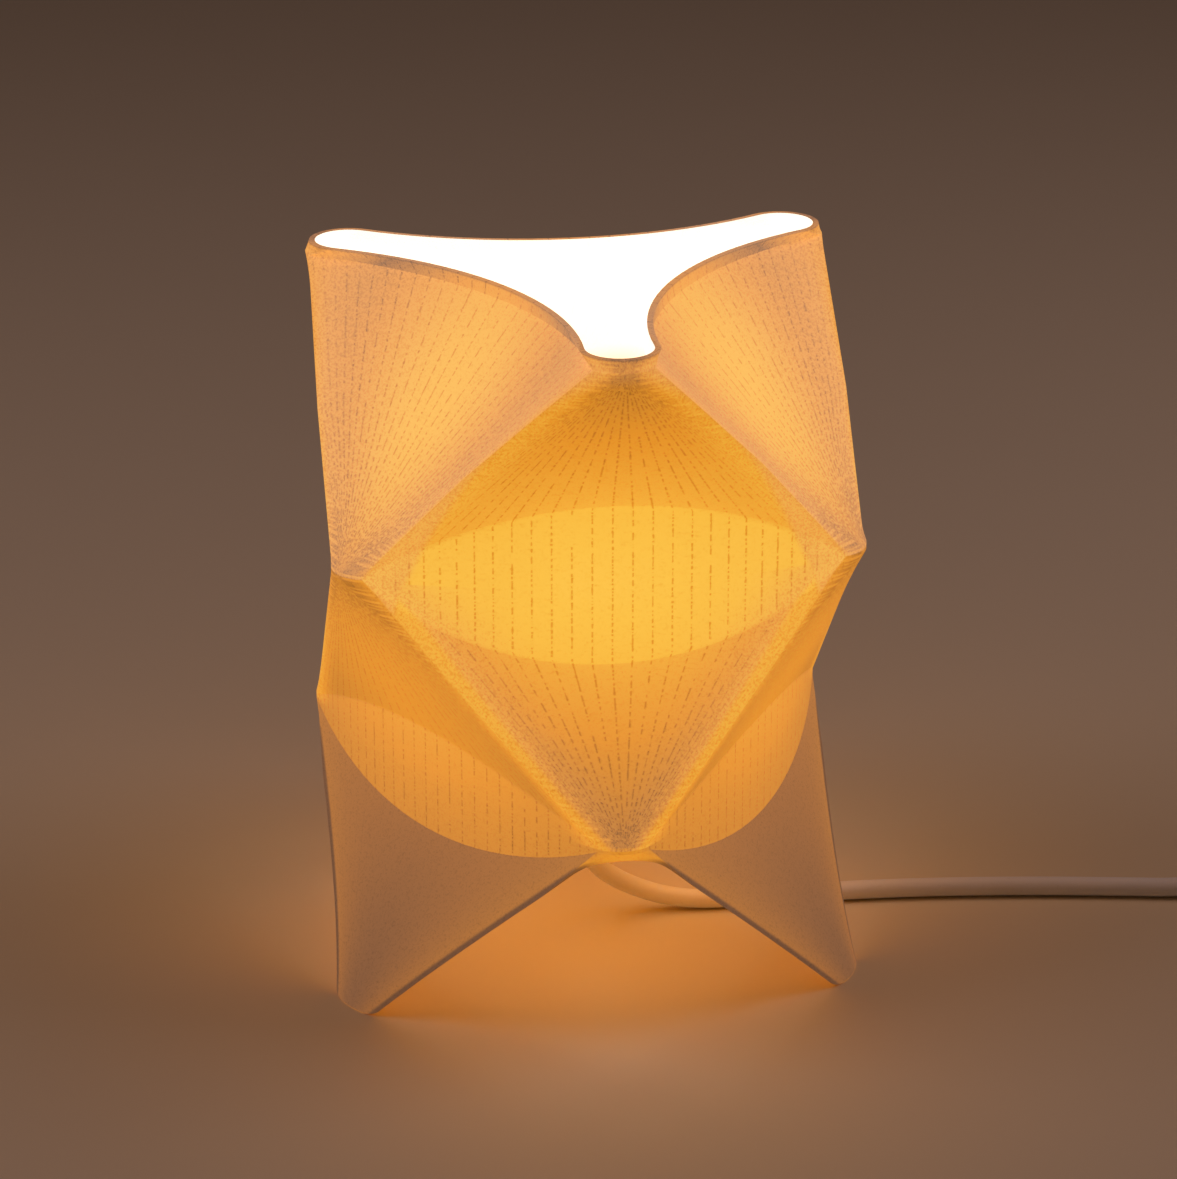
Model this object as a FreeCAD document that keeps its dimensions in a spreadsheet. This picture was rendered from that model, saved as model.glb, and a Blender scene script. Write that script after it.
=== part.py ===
import FreeCAD, Part
import Sketcher
import math
import os

# A table lamp: a one-piece translucent shade that folds like a paper lantern and stands
# on three legs, with a lamp holder, a bulb and a round mains lead inside it.
# Millimetres, Z up. The origin is on the floor under the lamp's axis, and the middle
# front corner of the shade points along -Y.

os.makedirs("parts", exist_ok=True)
doc = FreeCAD.newDocument("folded_lamp")

# ---------------------------------------------------------------- driving dimensions

DIMENSIONS = [
    # shade: corners of the fold at four levels, each turned 60 degrees from the next, and six
    # folds half way up to the rim
    ("corner_reach", 100.0), ("corner_round", 13.0), ("wall", 2.0),
    ("fold_low", 75.0), ("fold_pitch", 81.0), ("rim_height", 241.0), ("rim_draw_in", 1.5),
    ("rim_waist", 35.0), ("corner_band", 1.2),
    ("low_bulge", 66.5), ("low_bulge_rise", 17.0),
    ("mid_bulge", 71.5), ("mid_bulge_rise", 26.0), ("foot_waist", 57.0),
    ("high_fold", 197.0), ("high_fold_reach", 88.8), ("high_fold_spread", 32.2),
    ("high_fold_front", 79.0), ("high_fold_side", 67.5), ("rim_fold_spread", 50.0),
    ("arch_top", 71.0), ("arch_crown", 22.0), ("arch_foot", 78.9), ("toe_round", 7.4),
    ("foot_reach", 103.0),
    ("ledge_inner", 75.0), ("ledge_width", 14.0), ("ledge_bottom", 88.0), ("ledge_top", 95.0),
    ("ledge_hole", 1.5), ("screw_circle", 79.0),
    # carrier: a ring with three arms that lie on the shade's ledges
    ("carrier_thick", 4.0), ("carrier_ring", 31.0), ("carrier_bore", 20.2),
    ("arm_reach", 82.8), ("arm_width", 12.0),
    ("screw_shank", 1.42), ("screw_length", 9.0), ("screw_head", 3.0), ("screw_head_tall", 2.0),
    # lamp holder, upright, with the lead coming in from below
    ("holder_foot", 65.0), ("cap_radius", 19.0), ("cap_wall", 1.8), ("cap_top", 91.7),
    ("nipple_radius", 5.0), ("nipple_bore", 3.6), ("grip_radius", 7.5), ("grip_bottom", 45.0),
    ("flange_bottom", 92.0), ("flange_top", 94.9), ("flange_radius", 24.5),
    ("skirt_radius", 19.8), ("skirt_bore", 14.3), ("skirt_top", 128.0), ("spigot_radius", 16.8),
    ("ring_bottom", 99.3), ("ring_tall", 8.0), ("ring_bore", 20.15), ("ring_radius", 27.5),
    ("insert_bottom", 84.0), ("insert_top", 98.0), ("insert_radius", 14.2),
    ("contact_top", 101.0),
    # bulb with a 27 mm screw cap and a 45 mm globe
    ("bulb_tip", 101.4), ("button_radius", 4.8), ("button_tall", 1.4), ("glass_top", 108.0),
    ("screw_radius", 13.05), ("screw_root", 12.3), ("thread_pitch", 3.63), ("cap_end", 127.0),
    ("neck_radius", 13.2), ("housing_radius", 21.6), ("housing_top", 149.0),
    ("globe_radius", 22.5), ("globe_top", 180.0), ("globe_wall", 1.0),
    ("board_radius", 18.5), ("board_tall", 1.6),
    # mains lead, its switch, plug and coil
    ("cord_diameter", 6.8), ("floor_gap", 0.1),
    ("switch_length", 62.0), ("switch_width", 26.0), ("switch_tall", 19.0),
    ("switch_split", 9.5), ("switch_wall", 2.0), ("rocker_length", 17.0), ("rocker_width", 11.0),
    ("rocker_tilt", 8.0),
    ("coil_outer", 45.5), ("coil_step", 7.4), ("coil_lift", 1.6), ("coil_layer", 7.3),
    ("tie_thick", 1.0), ("tie_width", 12.0),
    ("plug_length", 30.0), ("boot_length", 20.0), ("plug_width", 35.0), ("plug_tall", 13.6),
    ("pin_radius", 2.0), ("pin_length", 19.0), ("pin_spacing", 18.6),
]
sheet = doc.addObject("Spreadsheet::Sheet", "Dimensions")
for row, (name, value) in enumerate(DIMENSIONS, start=1):
    sheet.set("A%d" % row, name)
    sheet.set("B%d" % row, repr(value))
    sheet.setAlias("B%d" % row, name)
doc.recompute()
SIZE = {name: float(sheet.get(name)) for name, _ in DIMENSIONS}


def dim(name):
    """One driving dimension, read from the sheet."""
    return float(sheet.get(name))


NODES = []


def node(thing, label):
    """Name a finished piece and keep it for writing out."""
    thing.Label = label
    NODES.append(thing)
    return thing


def origin_plane(body, role):
    """The body's own origin plane with this role."""
    return next(f for f in body.Origin.OriginFeatures if f.Role == role)


def bind(thing, **expressions):
    """Bind properties to cells of the sheet; a dot in a path is written as two underscores."""
    for path, expression in expressions.items():
        thing.setExpression(path.replace("__", "."), cells(expression))


def cells(expression):
    """Put the sheet's name before each dimension in an expression."""
    names = sorted(SIZE, key=len, reverse=True)
    out = ""
    word = ""
    for ch in expression + " ":
        if ch.isalnum() or ch == "_":
            word += ch
            continue
        out += "Dimensions." + word if word in names else word
        out += ch
        word = ""
    return out.strip()


# ---------------------------------------------------------------- turned pieces

def turned(label, outline, centre=(0.0, 0.0)):
    """A turned piece: a closed outline of (radius, height) expressions, spun about Z."""
    body = doc.addObject("PartDesign::Body", label)
    sketch = body.newObject("Sketcher::SketchObject", label + "_outline")
    sketch.AttachmentSupport = [(origin_plane(body, "XZ_Plane"), "")]
    sketch.MapMode = "FlatFace"
    doc.recompute()
    values = [(value_of(r), value_of(z)) for r, z in outline]
    count = len(values)
    for i, (r, z) in enumerate(values):
        r2, z2 = values[(i + 1) % count]
        sketch.addGeometry(Part.LineSegment(FreeCAD.Vector(r, z, 0), FreeCAD.Vector(r2, z2, 0)), False)
    for i in range(count):
        sketch.addConstraint(Sketcher.Constraint("Coincident", i, 2, (i + 1) % count, 1))
    for i, (r, z) in enumerate(outline):
        if values[i][0] == 0.0:
            sketch.addConstraint(Sketcher.Constraint("PointOnObject", i, 1, -2))
        else:
            at = sketch.addConstraint(Sketcher.Constraint("DistanceX", -1, 1, i, 1, values[i][0]))
            sketch.setExpression("Constraints[%d]" % at, cells(r))
        at = sketch.addConstraint(Sketcher.Constraint("DistanceY", -1, 1, i, 1, values[i][1]))
        sketch.setExpression("Constraints[%d]" % at, cells(z))
    spin = body.newObject("PartDesign::Revolution", label + "_spin")
    spin.Profile = sketch
    spin.ReferenceAxis = (sketch, ["V_Axis"])
    spin.Angle = 360.0
    body.Placement.Base = FreeCAD.Vector(centre[0], centre[1], 0)
    return node(body, label)


def value_of(expression):
    """Work out an expression of the sheet's dimensions in plain arithmetic."""
    sheet.set("D1", "=" + expression)
    sheet.recompute()
    value = float(sheet.get("D1"))
    sheet.clear("D1")
    return value


# ---------------------------------------------------------------- plain solids

def block(name, size, corner):
    """A box from (length, width, height) and its lowest corner, all expressions."""
    box = doc.addObject("Part::Box", name)
    bind(box, Length=size[0], Width=size[1], Height=size[2])
    bind(box, Placement__Base__x=corner[0], Placement__Base__y=corner[1], Placement__Base__z=corner[2])
    return box


def rod(name, radius, height, foot, turn=None):
    """A cylinder from its radius, height and foot centre; turn is an optional (axis, angle)."""
    cylinder = doc.addObject("Part::Cylinder", name)
    if turn:
        cylinder.Placement.Rotation = FreeCAD.Rotation(FreeCAD.Vector(*turn[0]), turn[1])
    bind(cylinder, Radius=radius, Height=height)
    bind(cylinder, Placement__Base__x=foot[0], Placement__Base__y=foot[1], Placement__Base__z=foot[2])
    return cylinder


def joined(name, pieces):
    """Several solids fused into one."""
    fused = doc.addObject("Part::MultiFuse", name)
    fused.Shapes = pieces
    return fused


def less(name, base, tool):
    """One solid with another cut out of it."""
    cut = doc.addObject("Part::Cut", name)
    cut.Base = base
    cut.Tool = tool
    return cut


def group(name, pieces):
    """Separate solids kept together as one piece."""
    compound = doc.addObject("Part::Compound", name)
    compound.Links = pieces
    return compound


def softened(name, base, radius, wanted):
    """The base with a fillet on each edge that wanted(edge) picks."""
    doc.recompute()
    fillet = doc.addObject("Part::Fillet", name)
    fillet.Base = base
    fillet.Edges = [(i + 1, radius, radius) for i, e in enumerate(base.Shape.Edges) if wanted(e)]
    return fillet


def upright(edge):
    """True for a straight edge along Z."""
    a, b = edge.Vertexes[0].Point, edge.Vertexes[-1].Point
    return abs(a.x - b.x) < 1e-6 and abs(a.y - b.y) < 1e-6 and abs(a.z - b.z) > 1e-6


def turn_about(obj, angle):
    """Turn a solid about the lamp's axis, keeping the place it was bound to."""
    copy = doc.addObject("Part::Feature", obj.Name + "_turned")
    doc.recompute()
    copy.Shape = obj.Shape.copy()
    copy.Placement = FreeCAD.Placement(
        FreeCAD.Vector(0, 0, 0), FreeCAD.Rotation(FreeCAD.Vector(0, 0, 1), angle)).multiply(obj.Placement)
    return copy


# ---------------------------------------------------------------- shade

FRONT = -90.0          # direction of a front corner, in degrees from +X
THIRD = 120.0


def on_floor(direction, out, across, height):
    """The point this far out along a direction and this far across it, at a height."""
    a = math.radians(direction)
    x = out * math.cos(a) - across * math.sin(a)
    y = out * math.sin(a) + across * math.cos(a)
    return FreeCAD.Vector(x, y, height)


class Fold:
    """One skin of the shade, drawn in by an inset from the outer surface."""

    def __init__(self, inset):
        self.inset = inset
        self.hub = dim("corner_reach") - dim("corner_round")
        self.nose = dim("corner_round") - inset

    def corner(self, direction, height, half_angle, hub=None):
        """The rounded corner that points in a direction: an arc from right to left."""
        hub = self.hub if hub is None else hub
        points = []
        for part in (-1, 0, 1):
            a = math.radians(part * half_angle)
            points.append(on_floor(direction, hub + self.nose * math.cos(a),
                                   self.nose * math.sin(a), height))
        return Part.Arc(*points).toShape()

    def side(self, start, end, direction, waist, height):
        """The side between two corners: an arc through the middle of the side."""
        middle = on_floor(direction, waist - self.inset, 0, height)
        a, b = start, end
        if abs((middle - a).cross(b - a).Length) < 1e-6:
            return Part.LineSegment(a, b).toShape()
        return Part.Arc(a, middle, b).toShape()

    def level(self, turned_by, height, half_angle, waist, rise=0.0, hub=None):
        """Six edges round the shade: a corner, then the side that follows it, three times."""
        edges = []
        corners = [self.corner(FRONT + turned_by + k * THIRD, height, half_angle, hub)
                   for k in range(3)]
        for k in range(3):
            start = corners[k].Curve.value(corners[k].LastParameter)
            follow = corners[(k + 1) % 3]
            end = follow.Curve.value(follow.FirstParameter)
            edges.append(corners[k])
            edges.append(self.side(start, end, FRONT + turned_by + (k + 0.5) * THIRD,
                                   waist, height + rise))
        return edges

    def creased(self, height, reach, spread, front_waist, side_waist):
        """Six edges between six folds, each this far out and this far from a front corner."""
        edges = []
        for k in range(3):
            direction = FRONT + k * THIRD
            folds = [on_floor(direction + turn, reach - self.inset, 0, height)
                     for turn in (-spread, spread, THIRD - spread)]
            edges.append(self.side(folds[0], folds[1], direction, front_waist, height))
            edges.append(self.side(folds[1], folds[2], direction + THIRD / 2, side_waist, height))
        return edges

    def skins(self):
        """All the edges, level by level, from the floor to the rim."""
        low, pitch, band = dim("fold_low"), dim("fold_pitch"), dim("corner_band")
        mid, high = low + pitch, low + 2 * pitch
        rim = dim("rim_height")
        full, blunt = 60.0, 42.0
        sharp = tangent_angle(self.hub, dim("corner_round"), dim("rim_waist"))
        drawn = self.hub - dim("rim_draw_in")
        spread_feet = dim("foot_reach") - dim("corner_round")
        return [
            self.level(60, low - pitch, full, dim("foot_waist"), 0.0, spread_feet),
            self.level(0, low - band, blunt, dim("low_bulge"), -dim("low_bulge_rise")),
            self.level(0, low + band, blunt, dim("low_bulge"), dim("low_bulge_rise")),
            self.level(60, mid - band, blunt, dim("mid_bulge"), -dim("mid_bulge_rise")),
            self.level(60, mid + band, blunt, dim("mid_bulge"), dim("mid_bulge_rise")),
            self.creased(dim("high_fold"), dim("high_fold_reach"), dim("high_fold_spread"),
                         dim("high_fold_front"), dim("high_fold_side")),
            self.level(0, high, dim("rim_fold_spread"), dim("rim_waist")),
            self.level(0, rim, sharp, dim("rim_waist") - dim("rim_draw_in") / 2, 0.0, drawn),
        ]


def tangent_angle(hub, nose, waist):
    """The half angle of a corner whose arc runs smoothly into a side with this waist."""
    inner = waist - nose
    reach = (hub * hub - inner * inner) / (hub - 2 * inner)
    a = math.radians(60)
    return math.degrees(math.atan2(reach * math.sin(a), reach * math.cos(a) - hub))


def opposite(edges, direction):
    """The edge of a level whose middle lies in this direction."""
    best, least = None, 1e9
    for edge in edges:
        middle = edge.valueAt((edge.FirstParameter + edge.LastParameter) / 2)
        a = math.degrees(math.atan2(middle.y, middle.x))
        off = abs((a - direction + 180) % 360 - 180)
        if off < least:
            best, least = edge, off
    return best


def skin_body(inset):
    """The closed solid inside one skin of the shade."""
    levels = Fold(inset).skins()
    faces = []
    for lower, upper in zip(levels, levels[1:]):
        for k in range(6):
            direction = FRONT + k * 60
            faces.append(Part.makeRuledSurface(opposite(lower, direction), opposite(upper, direction)))
    for ring in (levels[0], levels[-1]):
        faces.append(Part.Face(Part.Wire(Part.__sortEdges__(ring))))
    shell = Part.makeShell(faces)
    shell.sewShape()
    solid = Part.Solid(shell)
    if solid.Volume < 0:
        solid.reverse()
    return solid


def arch_cutter(direction):
    """The prism that opens one arch between two legs."""
    top, crown = dim("arch_top"), dim("arch_crown")
    foot, round_toe = dim("arch_foot"), dim("toe_round")
    reach, below = 2 * dim("corner_reach"), -2 * dim("fold_pitch")
    middle = top - crown
    # the straight flank from the foot touches the crown's circle
    gap = math.hypot(foot, middle)
    lean = math.atan2(-middle, foot) + math.acos(crown / gap)
    touch = (crown * math.cos(lean), middle + crown * math.sin(lean))
    # an arc rounds the toe between the flank and the floor
    turn = math.pi / 2 - lean
    cut = round_toe * math.tan(turn / 2)
    toe = foot + cut
    ankle = (foot - cut * math.cos(turn), cut * math.sin(turn))
    ball = (toe - round_toe * math.sin(turn / 2), round_toe * (1 - math.cos(turn / 2)))

    def at(across, height):
        return on_floor(direction, 20.0, across, height)

    edges = [
        Part.LineSegment(at(-toe, below), at(-toe, 0)).toShape(),
        Part.Arc(at(-toe, 0), at(-ball[0], ball[1]), at(-ankle[0], ankle[1])).toShape(),
        Part.LineSegment(at(-ankle[0], ankle[1]), at(-touch[0], touch[1])).toShape(),
        Part.Arc(at(-touch[0], touch[1]), at(0, top), at(touch[0], touch[1])).toShape(),
        Part.LineSegment(at(touch[0], touch[1]), at(ankle[0], ankle[1])).toShape(),
        Part.Arc(at(ankle[0], ankle[1]), at(ball[0], ball[1]), at(toe, 0)).toShape(),
        Part.LineSegment(at(toe, 0), at(toe, below)).toShape(),
        Part.LineSegment(at(toe, below), at(-toe, below)).toShape(),
    ]
    face = Part.Face(Part.Wire(edges))
    return face.extrude(on_floor(direction, reach, 0, 0))


def make_shade():
    """The printed shade: two skins, three arches, and three ledges in its low corners."""
    outer = skin_body(0.0)
    inner = skin_body(dim("wall"))
    below = -2 * dim("fold_pitch")
    span = 2 * dim("corner_reach")
    floor_cut = Part.makeBox(2 * span, 2 * span, -below, FreeCAD.Vector(-span, -span, below))
    shell = outer.cut(inner)
    shell = shell.cut(floor_cut)
    for k in range(3):
        shell = shell.cut(arch_cutter(FRONT + k * THIRD))
    for k in range(3):
        direction = FRONT + k * THIRD
        start, top, bottom = dim("ledge_inner"), dim("ledge_top"), dim("ledge_bottom")
        half = dim("ledge_width") / 2
        base = [on_floor(direction, out, across, bottom)
                for out, across in ((start, -half), (span, -half), (span, half), (start, half))]
        ledge = Part.Face(Part.makePolygon(base + base[:1])).extrude(FreeCAD.Vector(0, 0, top - bottom))
        shell = shell.fuse(ledge.common(outer))
        hole = Part.makeCylinder(dim("ledge_hole"), 3 * (top - bottom),
                                 on_floor(direction, dim("screw_circle"), 0, bottom - (top - bottom)))
        shell = shell.cut(hole)
    return shell


shade = doc.addObject("Part::Feature", "shade")
shade.Shape = make_shade()
node(shade, "shade")

# ---------------------------------------------------------------- carrier and its screws

ring_disc = rod("carrier_disc", "carrier_ring", "carrier_thick", ("0", "0", "ledge_top"))
arm = block("carrier_arm", ("arm_reach", "arm_width", "carrier_thick"), ("0", "-arm_width / 2", "ledge_top"))
arms = [turn_about(arm, FRONT + k * THIRD) for k in range(3)]
spider = joined("carrier_spider", [ring_disc] + arms)
carrier_bore = rod("carrier_opening", "carrier_bore", "3 * carrier_thick",
                   ("0", "0", "ledge_top - carrier_thick"))
screw_way = rod("carrier_screw_way", "ledge_hole", "3 * carrier_thick",
                ("screw_circle", "0", "ledge_top - carrier_thick"))
screw_ways = [turn_about(screw_way, FRONT + k * THIRD) for k in range(3)]
carrier_holes = joined("carrier_holes", [carrier_bore] + screw_ways)
node(less("holder_carrier", spider, carrier_holes), "holder_carrier")

shank = rod("screw_shank_rod", "screw_shank", "screw_length",
            ("screw_circle", "0", "ledge_top + carrier_thick - screw_length"))
head = rod("screw_head_disc", "screw_head", "screw_head_tall",
           ("screw_circle", "0", "ledge_top + carrier_thick"))
slot = block("screw_slot", ("2 * screw_head", "0.8", "1"),
             ("screw_circle - screw_head", "-0.4", "ledge_top + carrier_thick + screw_head_tall - 0.8"))
screw = less("carrier_screw", joined("screw_solid", [shank, head]), slot)
node(group("carrier_screws", [turn_about(screw, FRONT + k * THIRD) for k in range(3)]), "carrier_screws")

# ---------------------------------------------------------------- lamp holder

turned("holder_cap", [
    ("nipple_radius + 0.1", "holder_foot"), ("nipple_radius + 4", "holder_foot"),
    ("cap_radius - 3", "holder_foot + 7"), ("cap_radius", "holder_foot + 13"),
    ("cap_radius", "cap_top"), ("cap_radius - cap_wall", "cap_top"),
    ("cap_radius - cap_wall", "holder_foot + 13.6"),
    ("cap_radius - cap_wall - 2.6", "holder_foot + 8.4"),
    ("nipple_radius + 3.4", "holder_foot + cap_wall"), ("nipple_radius + 0.1", "holder_foot + cap_wall")])
turned("cord_nipple", [
    ("nipple_bore", "holder_foot - 3"), ("nipple_radius", "holder_foot - 3"),
    ("nipple_radius", "holder_foot + cap_wall + 0.1"), ("nipple_radius + 2.4", "holder_foot + cap_wall + 0.1"),
    ("nipple_radius + 2.4", "holder_foot + cap_wall + 3"), ("nipple_bore", "holder_foot + cap_wall + 3")])
turned("cord_grip", [
    ("cord_diameter / 2 + 0.1", "grip_bottom"), ("grip_radius - 3", "grip_bottom"),
    ("grip_radius - 1", "holder_foot - 6"), ("grip_radius", "holder_foot - 5.6"),
    ("grip_radius", "holder_foot - 0.2"),
    ("nipple_radius + 0.1", "holder_foot - 0.2"), ("nipple_radius + 0.1", "holder_foot - 3.1"),
    ("cord_diameter / 2 + 0.1", "holder_foot - 3.1")])
turned("holder_skirt", [
    ("skirt_bore", "insert_bottom + 3"), ("spigot_radius", "insert_bottom + 3"),
    ("spigot_radius", "flange_bottom"), ("flange_radius", "flange_bottom"),
    ("flange_radius", "flange_top"), ("skirt_radius", "flange_top"),
    ("skirt_radius", "skirt_top"), ("skirt_bore", "skirt_top")])
turned("shade_ring", [
    ("ring_bore", "ring_bottom"), ("ring_radius - 1", "ring_bottom"), ("ring_radius", "ring_bottom + 1"),
    ("ring_radius", "ring_bottom + ring_tall - 1"), ("ring_radius - 1", "ring_bottom + ring_tall"),
    ("ring_bore", "ring_bottom + ring_tall")])
turned("holder_insert", [
    ("0", "insert_bottom"), ("insert_radius", "insert_bottom"), ("insert_radius", "insert_top"),
    ("7", "insert_top"), ("7", "insert_top - 2"), ("0", "insert_top - 2")])
turned("centre_contact", [
    ("0", "insert_top - 2"), ("4", "insert_top - 2"), ("4", "insert_top - 1.2"),
    ("1.6", "contact_top"), ("0", "contact_top")])
side_strip = block("side_strip", ("0.5", "5", "14"), ("skirt_bore - 0.9", "-2.5", "insert_top"))
side_foot = block("side_foot", ("3.5", "5", "0.8"), ("skirt_bore - 4.4", "-2.5", "insert_top"))
node(joined("side_contact", [side_strip, side_foot]), "side_contact")
terminal_heads = []
for side in (-1, 1):
    barrel = rod("terminal_rod_%d" % (side + 1), "1.5", "2.6", ("%d * 8" % side, "0", "insert_bottom - 2.6"))
    cross = block("terminal_slot_%d" % (side + 1), ("3", "0.6", "0.8"),
                  ("%d * 8 - 1.5" % side, "-0.3", "insert_bottom - 2.6"))
    terminal_heads.append(less("terminal_screw_%d" % (side + 1), barrel, cross))
node(group("terminal_screws", terminal_heads), "terminal_screws")

# ---------------------------------------------------------------- bulb

turned("bulb_contact", [
    ("0", "bulb_tip"), ("button_radius - 1.2", "bulb_tip"), ("button_radius", "bulb_tip + button_tall"),
    ("0", "bulb_tip + button_tall")])
turned("bulb_cap_glass", [
    ("0", "bulb_tip + button_tall"), ("button_radius", "bulb_tip + button_tall"),
    ("screw_root - 1.2", "glass_top - 1.2"), ("screw_root - 1.2", "glass_top"), ("0", "glass_top")])


def threaded_cap():
    """The bulb's screw shell: one ridge and one root for each turn of the thread."""
    outline = [("screw_root - 1", "glass_top"), ("screw_root - 0.4", "glass_top")]
    ridges = 4
    for k in range(ridges):
        foot = "glass_top + 1.6 + %d * thread_pitch" % k
        outline.append(("screw_root", foot))
        outline.append(("screw_radius", foot + " + 0.3 * thread_pitch"))
        outline.append(("screw_radius", foot + " + 0.6 * thread_pitch"))
    outline.append(("screw_root", "glass_top + 1.6 + %d * thread_pitch" % ridges))
    outline += [("screw_root", "cap_end"), ("screw_root - 1", "cap_end")]
    return outline


turned("bulb_cap", threaded_cap())
turned("bulb_housing", [
    ("screw_root - 3", "cap_end"), ("neck_radius", "cap_end"), ("neck_radius", "skirt_top + 0.6"),
    ("neck_radius + 2.4", "skirt_top + 5"), ("housing_radius - 1.2", "housing_top - 4"),
    ("housing_radius", "housing_top"), ("housing_radius - 1.6", "housing_top"),
    ("housing_radius - 2.9", "housing_top - 3.4"), ("screw_root - 3", "cap_end + 3")])
turned("led_board", [
    ("0", "housing_top - 3.2"), ("board_radius", "housing_top - 3.2"),
    ("board_radius", "housing_top - 3.2 + board_tall"), ("0", "housing_top - 3.2 + board_tall")])

chips = []
CHIP_COUNT = 8
for k in range(CHIP_COUNT):
    chip = block("led_chip_%d" % k, ("2.8", "3.5", "0.8"), ("11", "-1.75", "housing_top - 3.2 + board_tall"))
    chips.append(turn_about(chip, k * 360.0 / CHIP_COUNT))
node(group("led_chips", chips), "led_chips")
driver_plate = block("driver_plate", ("14", "1.2", "17"), ("-7", "-0.6", "cap_end - 1"))
driver_coil = rod("driver_capacitor", "3.4", "9", ("0", "4.2", "cap_end + 3"))
driver_link = block("driver_link", ("4", "2", "4"), ("-2", "0.4", "cap_end + 5"))
node(joined("bulb_driver", [driver_plate, driver_coil, driver_link]), "bulb_driver")


def globe_shape():
    """The opal globe: an open dome, thicker at its lip, made of two arcs in section."""
    radius, wall = dim("globe_radius"), dim("globe_wall")
    foot, top = dim("housing_top") + 0.1, dim("globe_top")
    middle = top - radius
    lean = math.asin((foot - middle) / radius) if foot < middle else 0.0

    def ring_of(r):
        start = FreeCAD.Vector(r * math.cos(lean), 0, middle + r * math.sin(lean))
        half = (lean + math.pi / 2) / 2
        bulge = FreeCAD.Vector(r * math.cos(half), 0, middle + r * math.sin(half))
        return start, Part.Arc(start, bulge, FreeCAD.Vector(0, 0, middle + r)).toShape()

    out_start, out_arc = ring_of(radius)
    in_start, in_arc = ring_of(radius - wall)
    edges = [out_arc, in_arc,
             Part.LineSegment(FreeCAD.Vector(0, 0, middle + radius - wall),
                              FreeCAD.Vector(0, 0, middle + radius)).toShape(),
             Part.LineSegment(out_start, in_start).toShape()]
    face = Part.Face(Part.Wire(Part.__sortEdges__(edges)))
    return face.revolve(FreeCAD.Vector(0, 0, 0), FreeCAD.Vector(0, 0, 1), 360)


globe = doc.addObject("Part::Feature", "bulb_globe")
globe.Shape = globe_shape()
node(globe, "bulb_globe")


# ---------------------------------------------------------------- mains lead

CORD_RADIUS = dim("cord_diameter") / 2
FLOOR = CORD_RADIUS + dim("floor_gap")
SWITCH_START, SWITCH_LINE = 250.0, -8.2
ENTRY = dim("switch_split")
SWITCH_END = SWITCH_START + dim("switch_length")
CORD_DEPTH = 6.0
COIL_CENTRE = (376.0, 33.0)
COIL_LOW = dim("coil_lift") + CORD_RADIUS
COIL_HIGH = COIL_LOW + dim("coil_layer")
COIL_RUN = dim("cord_diameter")
PLUG_ENTRY = (320.0, 77.0, dim("plug_tall") / 2)

# from the grip under the holder down to the floor and out between two legs to the switch
LEAD_ROUTE = [
    (0, 0, dim("grip_bottom")), (0, 0, 36.4), (2.1, 1.3, 27.9), (6.2, 4.0, 20.4), (12.8, 7.3, 14.3),
    (20.8, 9.7, 9.0), (30.5, 9.9, 5.2), (42.3, 8.9, FLOOR), (56, 8.4, FLOOR), (78, 8.9, FLOOR),
    (105, 8.8, FLOOR), (135, 6.7, FLOOR), (166, 2.9, FLOOR), (194, -1.6, FLOOR), (214, -5.2, FLOOR),
    (230, -7.4, 6.2), (243, SWITCH_LINE, ENTRY), (SWITCH_START + CORD_DEPTH, SWITCH_LINE, ENTRY)]
# from the switch to the coil
TAIL_ROUTE = [
    (SWITCH_END - CORD_DEPTH, SWITCH_LINE, ENTRY), (318.5, SWITCH_LINE, ENTRY), (332, -9.4, 6.6),
    (345.5, -11.3, COIL_LOW), (358, COIL_CENTRE[1] - dim("coil_outer"), COIL_LOW),
    (COIL_CENTRE[0] - COIL_RUN, COIL_CENTRE[1] - dim("coil_outer"), COIL_LOW)]
# from the top of the coil down to the plug
PLUG_ROUTE = [
    (COIL_CENTRE[0] - COIL_RUN, COIL_CENTRE[1] + dim("coil_outer"), COIL_HIGH),
    (359.5, COIL_CENTRE[1] + dim("coil_outer"), COIL_HIGH), (349.5, 78.2, 10.9), (339.5, 77.5, 8.3),
    (329.5, PLUG_ENTRY[1], PLUG_ENTRY[2]), PLUG_ENTRY]


def rounded_path(route, name):
    """Straight runs joined by tangent arcs, each as large as its two runs allow."""
    points = [FreeCAD.Vector(*p) for p in route]
    edges = []
    radii = []
    at = points[0]
    for before, corner, after in zip(points, points[1:], points[2:]):
        back = before - corner
        ahead = after - corner
        cut = 0.45 * min(back.Length, ahead.Length)
        half_turn = (math.pi - back.getAngle(ahead)) / 2
        radius = cut / math.tan(half_turn)
        radii.append(radius)
        enter = corner + back.normalize() * cut
        leave = corner + ahead.normalize() * cut
        towards = (enter + leave) * 0.5 - corner
        middle = corner + towards.normalize() * (radius / math.cos(half_turn) - radius)
        edges.append(Part.LineSegment(at, enter).toShape())
        edges.append(Part.Arc(enter, middle, leave).toShape())
        at = leave
    edges.append(Part.LineSegment(at, points[-1]).toShape())
    print("%s: least radius %.1f mm, radii %s" % (name, min(radii), " ".join("%.0f" % r for r in radii)))
    return Part.Wire(edges)


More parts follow.
